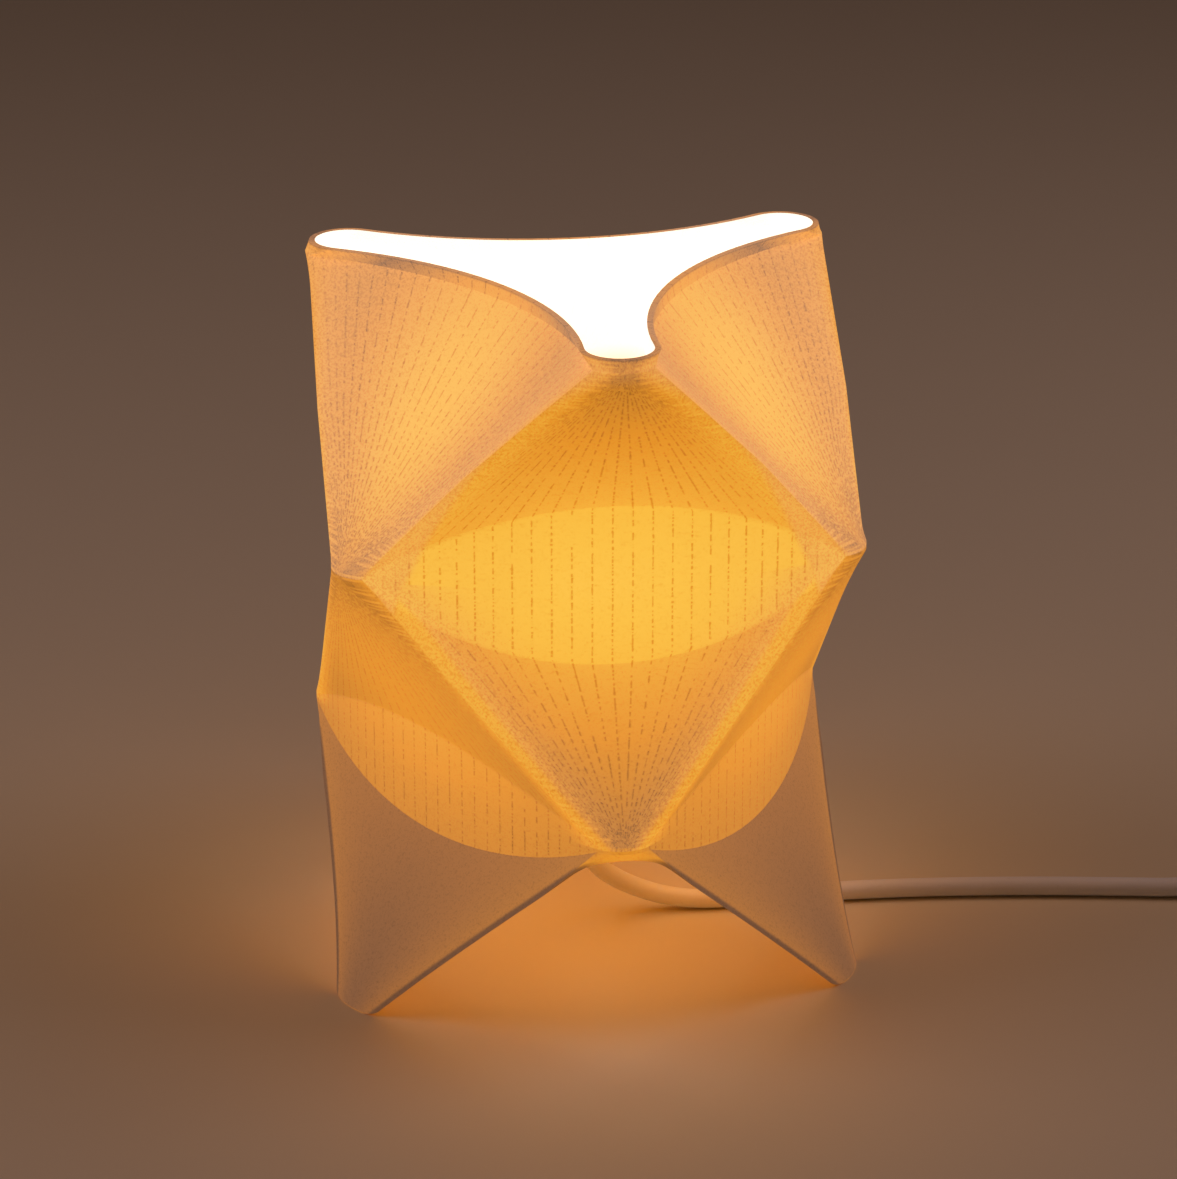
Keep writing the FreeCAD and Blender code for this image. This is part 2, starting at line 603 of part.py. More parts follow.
def swept(path, name):
    """A round tube along a path, with its volume set against section times length."""
    start = path.Edges[0]
    place = start.valueAt(start.FirstParameter)
    heading = start.tangentAt(start.FirstParameter)
    section = Part.Wire(Part.makeCircle(CORD_RADIUS, place, heading))
    tube = path.makePipeShell([section], True, False)
    if not tube.Solids:
        tube = Part.Solid(tube)
    if tube.Volume < 0:
        tube.reverse()
    wanted = math.pi * CORD_RADIUS ** 2 * path.Length
    print("%s: length %.1f mm, volume off by %.2f%%" % (name, path.Length, 100 * (tube.Volume / wanted - 1)))
    return tube


def coil_keys():
    """Quarter-turn stations of the coil: place and heading, layer by layer."""
    in_turns, out_turns = 3, 3
    outer, step = dim("coil_outer"), dim("coil_step")
    inner = outer - in_turns * step
    stations = []
    quarters = 4 * in_turns + 2 + 4 * out_turns
    for q in range(quarters + 1):
        angle = -math.pi / 2 + q * math.pi / 2
        if q <= 4 * in_turns:
            radius, drift, height, climb = outer - step * q / 4, -step / (2 * math.pi), COIL_LOW, 0.0
        elif q < 4 * in_turns + 2:
            radius, drift = inner - step / 8, 0.0
            height, climb = (COIL_LOW + COIL_HIGH) / 2, 1.5 * dim("coil_layer") / math.pi
        else:
            radius = inner + step * (q - 4 * in_turns - 2) / 4
            drift, height, climb = step / (2 * math.pi), COIL_HIGH, 0.0
        if q in (0, quarters):
            drift = 0.0
        c, s = math.cos(angle), math.sin(angle)
        place = FreeCAD.Vector(COIL_CENTRE[0] + radius * c, COIL_CENTRE[1] + radius * s, height)
        heading = FreeCAD.Vector(drift * c - radius * s, drift * s + radius * c, climb).normalize()
        stations.append((place, heading))
    return stations


def biarc(a, heading_a, b, heading_b):
    """Two tangent arcs from one station to the next."""
    v = b - a
    w = heading_a + heading_b
    k = 2 * (1 - heading_a.dot(heading_b))
    if abs(k) < 1e-9:
        reach = v.dot(v) / (4 * v.dot(heading_b))
    else:
        reach = (-v.dot(w) + math.sqrt(v.dot(w) ** 2 + k * v.dot(v))) / k
    first, last = a + heading_a * reach, b - heading_b * reach
    joint = (first + last) * 0.5
    return [arc_over(a, first, joint), arc_over(joint, last, b)]


def arc_over(a, apex, b):
    """The arc from a to b whose end tangents meet at the apex."""
    half = (apex - a).getAngle(b - a)
    weight = math.cos(half)
    middle = (a + b + apex * (2 * weight)) * (1 / (2 + 2 * weight))
    return Part.Arc(a, middle, b).toShape()


def coil_path():
    """The coil's centre line, with a straight run at each end."""
    stations = coil_keys()
    first, heading = stations[0]
    edges = [Part.LineSegment(first - heading * COIL_RUN, first).toShape()]
    for (a, ha), (b, hb) in zip(stations, stations[1:]):
        edges += biarc(a, ha, b, hb)
    last, heading = stations[-1]
    edges.append(Part.LineSegment(last, last + heading * COIL_RUN).toShape())
    return Part.Wire(edges)


def least_gap(path):
    """The least gap of the coiled tube to itself, measured on points of its centre line."""
    spacing = 3.0
    points = path.discretize(Distance=spacing)
    apart = int(4 * dim("cord_diameter") / spacing)
    least = 1e9
    for i, a in enumerate(points):
        for b in points[i + apart:]:
            least = min(least, a.distanceToPoint(b))
    return least - dim("cord_diameter")


coil_line = coil_path()
print("coil: least gap to itself %.2f mm" % least_gap(coil_line))
for label, line in (("cord_lead", rounded_path(LEAD_ROUTE, "lead")),
                    ("cord_tail", rounded_path(TAIL_ROUTE, "tail")),
                    ("cord_coil", coil_line),
                    ("cord_plug_end", rounded_path(PLUG_ROUTE, "plug end"))):
    cord = doc.addObject("Part::Feature", label)
    cord.Shape = swept(line, label)
    node(cord, label)
node(rod("cord_end_in_holder", "cord_diameter / 2", "holder_foot + 6 - grip_bottom", ("0", "0", "grip_bottom")),
     "cord_in_holder")


def lead_wires():
    """The two cores, from the lead's cut end to the terminals, with their sleeves on."""
    core = 1.1
    wires = []
    start, reach = dim("holder_foot") + 6.1, dim("insert_bottom") - 3.2
    for side in (-1, 1):
        turn = FreeCAD.Vector(side * 6.0, 0, start + 4.5)
        foot = FreeCAD.Vector(side * 1.5, 0, start)
        bend = foot + FreeCAD.Vector(0, 0, 1)
        path = Part.Wire([Part.LineSegment(foot, bend).toShape(), Part.LineSegment(bend, turn).toShape(),
                          Part.LineSegment(turn, FreeCAD.Vector(side * 8.0, 0, reach)).toShape()])
        ring = Part.Wire(Part.makeCircle(core, foot, FreeCAD.Vector(0, 0, 1)))
        wires.append(path.makePipeShell([ring], True, False, 2))
    return Part.makeCompound(wires)


cores = doc.addObject("Part::Feature", "lead_wires")
cores.Shape = lead_wires()
node(cores, "lead_wires")

# a strap of woven tape round the three turns on the coil's far side
tie_in = COIL_CENTRE[0] + dim("coil_outer") - 3.125 * dim("coil_step") - CORD_RADIUS - 1.6
tie_out = COIL_CENTRE[0] + dim("coil_outer") + CORD_RADIUS + 0.6
tie_low = dim("coil_lift") - 0.5
tie_high = COIL_HIGH + CORD_RADIUS + 0.5
thick, width = dim("tie_thick"), dim("tie_width")
tie_body = Part.makeBox(tie_out - tie_in + 2 * thick, width, tie_high - tie_low + 2 * thick,
                        FreeCAD.Vector(tie_in - thick, COIL_CENTRE[1] - width / 2, tie_low - thick))
tie_hole = Part.makeBox(tie_out - tie_in, 3 * width, tie_high - tie_low,
                        FreeCAD.Vector(tie_in, COIL_CENTRE[1] - 1.5 * width, tie_low))
tie = doc.addObject("Part::Feature", "coil_tie")
tie.Shape = tie_body.cut(tie_hole)
node(tie, "coil_tie")

# ---------------------------------------------------------------- switch in the lead

START = "%g" % SWITCH_START
LINE = "(%g)" % SWITCH_LINE
CORNER = 6.0
SCREW_PLACES = ((START + " + 4.2", LINE + " + switch_width / 2 - 4.6"),
                (START + " + switch_length - 4.2", LINE + " - switch_width / 2 + 4.6"))


def half_shell(name, bottom, height, hollow_from, hollow_height):
    """One half of the switch's casing: a rounded block with a hollow and two cord ways."""
    solid = softened(name + "_round", block(name + "_block", ("switch_length", "switch_width", height),
                                            (START, LINE + " - switch_width / 2", bottom)), CORNER, upright)
    hollow = block(name + "_hollow",
                   ("switch_length - 2 * switch_wall - 10", "switch_width - 2 * switch_wall", hollow_height),
                   (START + " + switch_wall + 5", LINE + " - switch_width / 2 + switch_wall", hollow_from))
    way = rod(name + "_way", "cord_diameter / 2 + 0.1", "switch_length + 4",
              (START + " - 2", LINE, "switch_split"), ((0, 1, 0), 90))
    holes = [rod("%s_hole_%d" % (name, k), "1.15", "switch_tall", (x, y, "floor_gap + switch_wall"))
             for k, (x, y) in enumerate(SCREW_PLACES)]
    return less(name + "_open", solid, joined(name + "_voids", [hollow, way] + holes))


base = half_shell("switch_foot", "floor_gap", "switch_split - floor_gap - 0.05",
                  "floor_gap + switch_wall", "switch_tall")
node(base, "switch_base")
cover = half_shell("switch_lid", "switch_split + 0.05", "switch_tall - switch_split", "switch_split - 1",
                   "switch_tall - switch_split - switch_wall + 1")
window = block("rocker_window", ("rocker_length + 2.2", "rocker_width + 0.8", "switch_tall"),
               (START + " + switch_length / 2 - rocker_length / 2 - 1.1",
                LINE + " - rocker_width / 2 - 0.4", "switch_split + 3"))
node(less("switch_cover_open", cover, window), "switch_cover")
PIVOT = FreeCAD.Vector(SWITCH_START + dim("switch_length") / 2, SWITCH_LINE, dim("switch_tall") - 4.0)


def rocker_shape():
    """The rocker, pressed down at its lamp end: a dished key on a round axle."""
    half, wide = dim("rocker_length") / 2, dim("rocker_width")
    low, dish, high = -3.2, 4.2, 5.6
    outline = [(-half, low), (half, low), (half, high), (half * 0.45, dish + 0.35), (0, dish),
               (-half * 0.45, dish + 0.35), (-half, high)]
    points = [FreeCAD.Vector(x, -wide / 2, z) for x, z in outline]
    key = Part.Face(Part.makePolygon(points + points[:1])).extrude(FreeCAD.Vector(0, wide, 0))
    axle = Part.makeCylinder(1.4, wide + 5.2, FreeCAD.Vector(0, -wide / 2 - 2.6, 0), FreeCAD.Vector(0, 1, 0))
    return key.fuse(axle)


rocker = doc.addObject("Part::Feature", "switch_rocker")
rocker.Shape = rocker_shape()
rocker.Placement = FreeCAD.Placement(PIVOT, FreeCAD.Rotation(FreeCAD.Vector(0, 1, 0), -dim("rocker_tilt")))
node(rocker, "switch_rocker")

saddles = []
for k, across in enumerate(("rocker_width / 2 + 0.9", "-rocker_width / 2 - 2.5")):
    post = block("saddle_%d" % k, ("6", "1.6", "switch_tall - 7.5 - floor_gap - switch_wall"),
                 (START + " + switch_length / 2 - 3", LINE + " + " + across, "floor_gap + switch_wall"))
    saddles.append(post)
node(group("rocker_saddles", saddles), "rocker_saddles")

strips = []
for k, along in enumerate(("8", "switch_length - 22")):
    end = START + " + " + along
    foot = block("strip_foot_%d" % k, ("14", "6", "0.8"), (end, LINE + " - 3", "floor_gap + switch_wall"))
    rise = block("strip_rise_%d" % k, ("0.8", "6", "3.2"),
                 (end + " + %g" % (13.2 * (1 - k)), LINE + " - 3", "floor_gap + switch_wall"))
    strips.append(joined("contact_strip_%d" % k, [foot, rise]))
node(group("switch_contacts", strips), "switch_contacts")

bolts = []
for k, (x, y) in enumerate(SCREW_PLACES):
    shank = rod("case_shank_%d" % k, "1.1", "switch_tall - floor_gap - switch_wall - 1",
                (x, y, "floor_gap + switch_wall + 1.05"))
    head = rod("case_head_%d" % k, "2.1", "1.2", (x, y, "switch_tall + 0.05"))
    slot = block("case_slot_%d" % k, ("4.4", "0.6", "0.8"), (x + " - 2.2", y + " - 0.3", "switch_tall + 0.75"))
    bolts.append(less("case_screw_%d" % k, joined("case_bolt_%d" % k, [shank, head]), slot))
node(group("switch_screws", bolts), "switch_screws")

# ---------------------------------------------------------------- plug

def plug_shape():
    """The moulded two-pin plug: a flat hexagonal front that narrows to the lead."""
    front = PLUG_ENTRY[0] - dim("boot_length") - dim("plug_length")
    middle_y, middle_z = PLUG_ENTRY[1], PLUG_ENTRY[2]
    wide, tall = dim("plug_width") / 2, dim("plug_tall") / 2

    def section(x, half_wide, half_tall, cut):
        outline = [(half_wide, half_tall - cut), (half_wide - cut * 1.5, half_tall),
                   (-half_wide + cut * 1.5, half_tall), (-half_wide, half_tall - cut),
                   (-half_wide, -half_tall + cut), (-half_wide + cut * 1.5, -half_tall),
                   (half_wide - cut * 1.5, -half_tall), (half_wide, -half_tall + cut)]
        points = [FreeCAD.Vector(x, middle_y + y, middle_z + z) for y, z in outline]
        return Part.makePolygon(points + points[:1])

    return Part.makeLoft([section(front, wide, tall - 0.1, 3.4), section(front + 8, wide - 0.8, tall - 0.1, 3.4),
                          section(front + 21, wide * 0.62, tall - 0.8, 3.0),
                          section(front + dim("plug_length"), wide * 0.34, tall - 1.4, 2.4)], True, True)


plug = doc.addObject("Part::Feature", "plug_body")
plug.Shape = plug_shape()
node(plug, "plug_body")
ENTRY_X, ENTRY_Y = "%g" % PLUG_ENTRY[0], "%g" % PLUG_ENTRY[1]
boot = doc.addObject("Part::Cone", "plug_boot")
bind(boot, Radius1="cord_diameter / 2 + 0.6", Radius2="cord_diameter / 2 + 1.8", Height="boot_length")
boot.Placement.Rotation = FreeCAD.Rotation(FreeCAD.Vector(0, 1, 0), -90)
bind(boot, Placement__Base__x=ENTRY_X, Placement__Base__y=ENTRY_Y, Placement__Base__z="plug_tall / 2")
node(boot, "plug_boot")
pins, sleeves = [], []
for side in (-1, 1):
    place = "%s + %d * pin_spacing / 2" % (ENTRY_Y, side)
    pins.append(rod("pin_%d" % (side + 1), "pin_radius", "pin_length - 10",
                    (ENTRY_X + " - boot_length - plug_length - 10", place, "plug_tall / 2"), ((0, 1, 0), -90)))
    sleeves.append(rod("sleeve_%d" % (side + 1), "pin_radius - 0.1", "10",
                       (ENTRY_X + " - boot_length - plug_length", place, "plug_tall / 2"), ((0, 1, 0), -90)))
node(group("plug_pins", pins), "plug_pins")
node(group("plug_pin_sleeves", sleeves), "plug_pin_sleeves")

# ---------------------------------------------------------------- write the pieces

def finish():
    """Recompute, check every object and every piece, and write the pieces."""
    doc.recompute()
    for thing in doc.Objects:
        state = thing.State
        if "Invalid" in state or "Error" in state:
            raise RuntimeError("%s is %s" % (thing.Name, state))
    total = 0.0
    for thing in NODES:
        shape = thing.Shape
        if shape.isNull() or not shape.isValid() or not shape.Solids:
            raise RuntimeError("%s has no sound solid" % thing.Label)
        total += shape.Volume
        shape.exportStep("parts/%s.step" % thing.Label)
        print("%-20s %2d solids %10.1f mm3" % (thing.Label, len(shape.Solids), shape.Volume))
    print("%d pieces, %.0f mm3" % (len(NODES), total))


finish()
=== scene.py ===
import bpy
import math
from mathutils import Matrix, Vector


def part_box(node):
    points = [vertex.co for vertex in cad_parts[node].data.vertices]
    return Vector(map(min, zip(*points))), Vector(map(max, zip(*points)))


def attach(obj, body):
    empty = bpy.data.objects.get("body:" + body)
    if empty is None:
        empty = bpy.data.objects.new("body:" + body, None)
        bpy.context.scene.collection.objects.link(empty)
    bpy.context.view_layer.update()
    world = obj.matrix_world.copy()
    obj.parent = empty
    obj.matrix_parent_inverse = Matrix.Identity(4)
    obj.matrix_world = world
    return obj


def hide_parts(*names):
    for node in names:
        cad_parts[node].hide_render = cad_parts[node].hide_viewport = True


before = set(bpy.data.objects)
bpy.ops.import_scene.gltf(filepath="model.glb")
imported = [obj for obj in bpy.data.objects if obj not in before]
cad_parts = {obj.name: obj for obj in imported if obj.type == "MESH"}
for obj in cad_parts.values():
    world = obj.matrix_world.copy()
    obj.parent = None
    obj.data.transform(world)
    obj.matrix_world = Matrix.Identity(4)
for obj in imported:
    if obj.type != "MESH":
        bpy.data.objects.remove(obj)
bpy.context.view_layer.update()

# ---------------------------------------------------------------- view
# The picture is taken from a little above, from the front and slightly to the left of the lamp's
# middle corner, with a long lens. The frame is 1177 by 1179 pixels, so its height sets the lens.

FOCAL_PIXELS, FRAME_PIXELS, SENSOR = 4181.0, 1179.0, 36.0
DISTANCE, HEIGHT = 1.3213, 0.6465
LOOKING_DOWN, AROUND, PAN = 0.3747, 0.1353, 0.0015

camera_data = bpy.data.cameras.new("camera")
camera_data.sensor_width = SENSOR
camera_data.lens = SENSOR * FOCAL_PIXELS / FRAME_PIXELS
camera_data.clip_start = 0.05
camera = bpy.data.objects.new("camera", camera_data)
camera.location = (-DISTANCE * math.sin(AROUND), -DISTANCE * math.cos(AROUND), HEIGHT)
camera.rotation_euler = (math.pi / 2 - LOOKING_DOWN, 0.0, -(AROUND + PAN))
bpy.context.scene.collection.objects.link(camera)
bpy.context.scene.camera = camera
bpy.context.scene.view_settings.view_transform = "Standard"

# ---------------------------------------------------------------- shade
# One thin shell, printed standing up in thin layers from a clear off-white plastic. Its folds
# are rounded, and its skin carries rows of short dashes and a fine stipple near the folds.


class Wire:
    """A node's output, with arithmetic on it."""

    def __init__(self, finish, socket):
        self.finish, self.socket = finish, socket

    def math(self, operation, *others):
        return self.finish.node("ShaderNodeMath", {"operation": operation}, dict(enumerate((self,) + others)))

    def __add__(self, other):
        return self.math("ADD", other)

    def __sub__(self, other):
        return self.math("SUBTRACT", other)

    def __mul__(self, other):
        return self.math("MULTIPLY", other)

    def __truediv__(self, other):
        return self.math("DIVIDE", other)

    def __pow__(self, other):
        return self.math("POWER", other)

    def __abs__(self):
        return self.math("ABSOLUTE")

    def __rsub__(self, other):
        return self.finish.node("ShaderNodeMath", {"operation": "SUBTRACT"}, {0: other, 1: self})

    __radd__ = __add__
    __rmul__ = __mul__

    def other(self, name):
        """Another output of the same node."""
        return Wire(self.finish, self.socket.node.outputs[name])


class Finish:
    """A material in the making, with one method that adds any node."""

    def __init__(self, name):
        self.material = bpy.data.materials.new(name)
        self.material.use_nodes = True
        self.tree = self.material.node_tree
        self.tree.nodes.clear()

    def node(self, kind, settings=None, inputs=None, output=0):
        """Any node, from its settings and from the values or links of its sockets."""
        node = self.tree.nodes.new(kind)
        for name, value in (settings or {}).items():
            if name == "stops":
                ramp = node.color_ramp
                while len(ramp.elements) < len(value):
                    ramp.elements.new(0.5)
                for element, (place, colour) in zip(ramp.elements, value):
                    element.position, element.color = place, tuple(colour) + (1.0,)
            else:
                setattr(node, name, value)
        for name, value in (inputs or {}).items():
            if isinstance(value, Wire):
                self.tree.links.new(value.socket, node.inputs[name])
            else:
                node.inputs[name].default_value = value
        return Wire(self, node.outputs[output])

    def place(self):
        """The object's own coordinates in millimetres."""
        here = self.node("ShaderNodeTexCoord", output="Object")
        return self.node("ShaderNodeVectorMath", {"operation": "SCALE"}, {0: here, "Scale": 1000.0})

    def smooth(self, value, low, high):
        """0 below low, 1 above high, and a soft step between them."""
        return self.node("ShaderNodeMapRange", {"interpolation_type": "SMOOTHSTEP"},
                         {"Value": value, "From Min": low, "From Max": high})

    def blend(self, factor, a, b, kind="MIX"):
        """Two colours mixed by a factor."""
        mix = self.tree.nodes.new("ShaderNodeMix")
        mix.data_type, mix.blend_type = "RGBA", kind
        for socket, value in ((mix.inputs[0], factor), (mix.inputs[6], a), (mix.inputs[7], b)):
            if isinstance(value, Wire):
                self.tree.links.new(value.socket, socket)
            else:
                socket.default_value = value if socket is mix.inputs[0] else tuple(value) + (1.0,)
        return Wire(self, mix.outputs[2])

    def grain(self, place, size, detail=2.0, rough=0.5):
        """Noise whose lumps are this many millimetres across."""
        return self.node("ShaderNodeTexNoise", {}, {"Vector": place, "Scale": 1.0 / size, "Detail": detail,
                                                    "Roughness": rough})

    def bump(self, height, millimetres, strength=1.0):
        """A Normal from a height of 0 to 1."""
        return self.node("ShaderNodeBump", {}, {"Height": height, "Distance": millimetres / 1000.0,
                                                "Strength": strength})

    def done(self, **inputs):
        """The surface itself, from its socket names with underscores for blanks."""
        named = {name.replace("_", " "): value for name, value in inputs.items()}
        surface = self.node("ShaderNodeBsdfPrincipled", {}, named)
        out = self.tree.nodes.new("ShaderNodeOutputMaterial")
        self.tree.links.new(surface.socket, out.inputs["Surface"])
        return self.material


def wear(material, *names):
    """Give CAD nodes this material in place of their plain one."""
    for name in names:
        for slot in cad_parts[name].material_slots:
            slot.material = material


LOW_LEVEL, LEVEL_STEP, RIM = 75.0, 81.0, 241.0
MIDDLE_LEVEL = LOW_LEVEL + LEVEL_STEP
LAMP_CENTRE = (0.0, 0.0, 158.0)
ARCH_TOP, ARCH_CROWN, ARCH_FOOT = 71.0, 22.0, 78.9


def shell_finish():
    """Warm light through the printed shell, with its dashes, stipple and layers."""
    finish = Finish("printed_shell")
    place = finish.place()
    split = finish.node("ShaderNodeSeparateXYZ", {}, {"Vector": place})
    x, y, z = split, split.other("Y"), split.other("Z")
    radius = (x * x + y * y) ** 0.5
    azimuth = x.math("ARCTAN2", 0.0 - y)

    # two families of facets: one faces as the front corner does, the other as the legs do
    third = 2 * math.pi / 3
    front = azimuth.math("WRAP", third / 2, -third / 2)
    side = (azimuth - third / 2).math("WRAP", third / 2, -third / 2)
    front_across = radius * front.math("SINE")
    side_across = radius * side.math("SINE")
    is_high = z.math("GREATER_THAN", MIDDLE_LEVEL)
    is_low = z.math("LESS_THAN", LOW_LEVEL)

    # a fold runs from a narrow corner on one level to the end of a wide side on the next
    corner_side, corner_out, wide_side, wide_out = 9.4, 95.6, 79.3, 55.9
    away = ((z - LOW_LEVEL) / LEVEL_STEP).math("PINGPONG", 1.0)
    bow = away * (1.0 - away) * is_high * 0.14
    fold = (away * (wide_side - corner_side) + corner_side).math(
        "ARCTAN2", corner_out - away * (corner_out - wide_out)) + bow
    to_fold = (abs(front) - fold) * radius
    on_front = (1.0 - finish.smooth(to_fold, -0.5, 0.5)) * (1.0 - is_low)
    on_side = 1.0 - on_front

    # a lens-shaped face lies across each wide level
    front_lens = 27.2 - (front_across * front_across) * 0.00413 - abs(z - MIDDLE_LEVEL)
    side_lens = 18.2 - (side_across * side_across) * 0.0027 - abs(z - LOW_LEVEL)
    in_front_lens = finish.smooth(front_lens, -1.0, 1.0) * on_front
    in_side_lens = finish.smooth(side_lens, -1.0, 1.0) * on_side
    low_lens = in_side_lens * (1.0 - is_high)
    bare_leg = is_low * (1.0 - in_side_lens)

    # the dashes follow the lines that run from a wide side to the corner opposite it
    line_end, side_end = 88.0, 86.6
    column_step = 0.075

    def ruled(across, level, lens_rise):
        left = (LEVEL_STEP - abs(z - level)).math("MAXIMUM", 2.0)
        guess = across * (LEVEL_STEP - lens_rise * 0.7) / left
        for _ in range(2):
            bulge = LEVEL_STEP - lens_rise * (1.0 - (guess * guess / side_end ** 2).math("MINIMUM", 1.0))
            guess = across * bulge / left
        return abs(guess).math("MAXIMUM", abs(across)) * across.math("SIGN")

    front_lines = ruled(front_across, MIDDLE_LEVEL, 26.0)
    low_lines = ruled(side_across, LOW_LEVEL, 17.0)
    high_lines = side_across * LEVEL_STEP / (z - MIDDLE_LEVEL).math("MAXIMUM", 2.0)
    side_lines = low_lines + (high_lines - low_lines) * is_high
    lines = side_lines + (front_lines - side_lines) * on_front
    column = (lines / line_end).math("MINIMUM", 0.995).math("MAXIMUM", -0.995).math("ARCSINE") / column_step
    across = abs(side_across + (front_across - side_across) * on_front)
    crowding = (across / (abs(lines) + 0.01)).math("MAXIMUM", 0.12)
    column_gap = (line_end ** 2 - lines * lines).math("MAXIMUM", 400.0) ** 0.5 * column_step * crowding
    off_line = abs(column - column.math("ROUND")) * column_gap
    jitter = (finish.grain(place, 1.4) - 0.5) * 0.7
    on_line = 1.0 - finish.smooth(abs(off_line + jitter), 0.10, 0.46)
    along = finish.node("ShaderNodeCombineXYZ", {}, {"X": column.math("ROUND") * 17.3, "Y": z / 1.1,
                                                     "Z": on_front * 9.0})
    dash = finish.smooth(finish.node("ShaderNodeTexNoise", {}, {"Vector": along, "Scale": 1.0, "Detail": 0.0}),
                         0.42, 0.52)
    # a strip along each fold: the dashes fade and the stipple is thick there, and below the glow is painted
    # lighter there, a painted highlight on the rounded fold
    ridge = (to_fold + 3.0) * (to_fold + 3.0)
    band = (ridge * -0.03).math("EXPONENT") * (1.0 - is_low)
    dashes = on_line * dash * (1.0 - band * 0.7) * (1.0 - bare_leg * 0.85)

    # painted light: beside a fold, and on the crown right under the rim's front, the glow is dimmer, paler and
    # pinker, and the stipple is thicker
    pink_side = (finish.smooth(to_fold, -1.0, 2.0) * is_high
                 + finish.smooth(0.0 - to_fold, 4.0, 7.0) * (1.0 - is_high))
    beside = (to_fold * to_fold * -0.0035).math("EXPONENT") * pink_side * (1.0 - is_low)
    crown = finish.smooth(z + front_across * front_across * 0.018, 230.0, 238.0) * on_front
    beside = beside.math("MAXIMUM", crown)

    # short marks lie along the layers, and a stipple is thick beside the folds
    flat = finish.node("ShaderNodeVectorMath", {"operation": "MULTIPLY"}, {0: place, 1: (0.42, 0.42, 1.25)})
    mark = finish.node("ShaderNodeTexNoise", {}, {"Vector": flat, "Scale": 1.0, "Detail": 2.0, "Roughness": 0.65})
    marks = finish.smooth(mark, 0.56, 0.68)
    speck = finish.node("ShaderNodeTexNoise", {}, {"Vector": place, "Scale": 1.35, "Detail": 2.0,
                                                   "Roughness": 0.6, "Distortion": 0.5})
    high_slope = on_side * is_high
    thick = (band * 0.6 + beside * 0.6 + high_slope * 0.18 + 0.32 + is_low * 0.20).math("MINIMUM", 1.0)
    specks = finish.smooth(speck + thick * 0.10, 0.600, 0.665) * (thick * 0.85 + 0.15)

    # light from the bulb that comes through: it falls with distance and with slant
    from_lamp = finish.node("ShaderNodeVectorMath", {"operation": "SUBTRACT"}, {0: place, 1: LAMP_CENTRE})
    far = finish.node("ShaderNodeVectorMath", {"operation": "LENGTH"}, {0: from_lamp}, output="Value")
    facing = finish.node("ShaderNodeTexCoord", output="Normal")
    slant = finish.node("ShaderNodeVectorMath", {"operation": "DOT_PRODUCT"}, {0: from_lamp, 1: facing},
                        output="Value")
    share = abs(slant) / (far * far * far) * 5112.0
    # painted shade and light on each facet: the overhangs below the middle level much darker, the front lens
    # brighter, the other facets a little darker, and the glow dimmer beside the folds
    under_hang = on_side * (1.0 - is_high) * (1.0 - is_low) * (1.0 - in_side_lens)
    painted_facet_light = (1.0 + in_front_lens * (front_across * front_across * 0.00005 + 0.02)
             - (1.0 - in_front_lens) * on_front * 0.03
             - under_hang * 0.39 - high_slope * 0.05 - low_lens * 0.12 - bare_leg * 0.05)
    even = share.math("MAXIMUM", 0.0004) ** 0.5 * 0.92 * painted_facet_light * (1.0 - beside * 0.22)
    # painted light: along each fold the glow is drawn towards a bright, even level
    glow_with_painted_fold_light = even + (0.80 - even) * band * 0.55

    # the glow is painted dimmer and the colour darker along the cut edges: the rim on top, and the arches between
    # the legs
    arch_centre = ARCH_TOP - ARCH_CROWN
    flank = (math.atan2(-arch_centre, ARCH_FOOT)
             + math.acos(ARCH_CROWN / math.hypot(ARCH_FOOT, arch_centre)))
    above = (z - arch_centre).math("ARCTAN2", abs(front_across)).math("MAXIMUM", flank)
    from_arch = (abs(front_across) * above.math("COSINE") + (z - arch_centre) * above.math("SINE")
                 - ARCH_CROWN)
    arch_edge = (1.0 - finish.smooth(from_arch, 0.8, 1.8)) * (1.0 - finish.smooth(z, 66.0, 72.0))
    rim_edge = finish.smooth(z, RIM - 0.8, RIM - 0.2)
    edge = (arch_edge * 0.8).math("MAXIMUM", rim_edge * 0.5)

    worn = 1.0 - dashes * 0.36 - specks * 0.22 - marks * 0.09
    patch = (finish.grain(place, 45.0, 2.0) - 0.5) * 0.10
    level = glow_with_painted_fold_light * (1.0 + patch) * (1.0 - edge) * worn
    painted_glow = finish.node("ShaderNodeValToRGB", {"stops": [
        (0.0, (0.0, 0.0, 0.0)), (0.127, (0.225, 0.070, 0.001)), (0.45, (0.71, 0.247, 0.002)),
        (0.69, (0.81, 0.38, 0.025)), (0.92, (0.91, 0.506, 0.045)), (1.0, (0.95, 0.55, 0.07))]}, {"Fac": level})
    # painted room light: a pinkish tint in the glow on the upper side slopes and beside the folds
    painted_glow = finish.blend(high_slope * 0.05 + beside * 0.05, painted_glow, (1.0, 0.80, 0.66))

    # painted light on the inner skin: its glow is nearly white beside and above the bulb, and deep orange down to
    # the floor
    turned = finish.node("ShaderNodeSeparateXYZ", {}, {"Vector": facing})
    heading = azimuth - side
    outward = turned * heading.math("SINE") - turned.other("Y") * heading.math("COSINE")
    outside = outward.math("GREATER_THAN", -0.05)
    upper = finish.smooth(z, 165.0, 194.0)
    painted_inner_glow = finish.node("ShaderNodeValToRGB", {"stops": [
        (0.08, (0.18, 0.052, 0.0)), (0.50, (0.44, 0.16, 0.0)), (0.68, (0.88, 0.46, 0.05)),
        (0.785, (0.98, 0.93, 0.80))]}, {"Fac": z / RIM})
    light = finish.blend(outside, painted_inner_glow, painted_glow)

